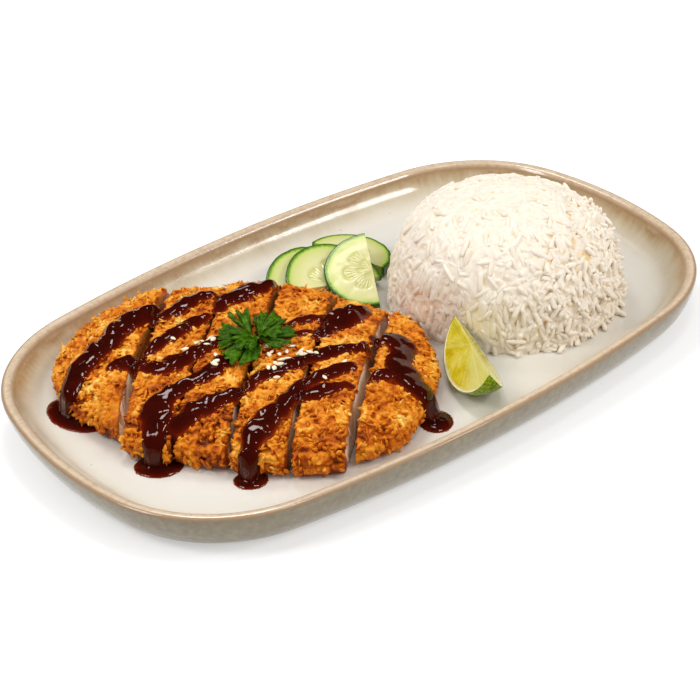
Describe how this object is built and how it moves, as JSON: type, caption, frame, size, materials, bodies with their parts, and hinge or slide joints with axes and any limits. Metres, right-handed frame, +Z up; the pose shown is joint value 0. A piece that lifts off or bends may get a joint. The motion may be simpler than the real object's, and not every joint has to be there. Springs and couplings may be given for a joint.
{
  "type": "chicken katsu plate",
  "caption": "Sliced breaded chicken cutlet with glossy brown sauce, a moulded rice heap, cucumber, a lime wedge and parsley on an oblong stoneware plate with a low rim.",
  "frame": {"origin": "middle of the plate's foot, on the surface that the plate stands on", "axes": "+X along the plate's length towards the rice, +Y across the plate towards the cucumber, +Z up"},
  "size_m": [0.35, 0.221, 0.0648],
  "materials": {
    "plate": "glossy reactive-glazed stoneware, cream with a tan-brown rim and fine speckles",
    "katsu": "deep-fried panko crumb, golden brown and rough, with pale chicken at the cut faces",
    "rice": "steamed white long-grain rice, moist and slightly translucent",
    "cucumber": "moist pale green flesh with a dark green rind",
    "lime": "juicy yellow-green pulp with pale membranes and a green peel",
    "parsley": "fresh curly leaf",
    "sauce": "thick glossy dark red-brown sauce"
  },
  "bodies": {
    "root": {"plate": "plate", "katsu_slice_1": "katsu", "katsu_slice_2": "katsu", "katsu_slice_3": "katsu", "katsu_slice_4": "katsu", "katsu_slice_5": "katsu", "katsu_slice_6": "katsu", "rice_mound": "rice", "cucumber_slice_1": "cucumber", "cucumber_slice_2": "cucumber", "cucumber_slice_3": "cucumber", "cucumber_slice_4": "cucumber", "lime_wedge": "lime", "parsley_sprig": "parsley", "sauce_puddle_1": "sauce", "sauce_puddle_2": "sauce", "sauce_puddle_3": "sauce", "sauce_puddle_4": "sauce"}
  },
  "joints": []
}
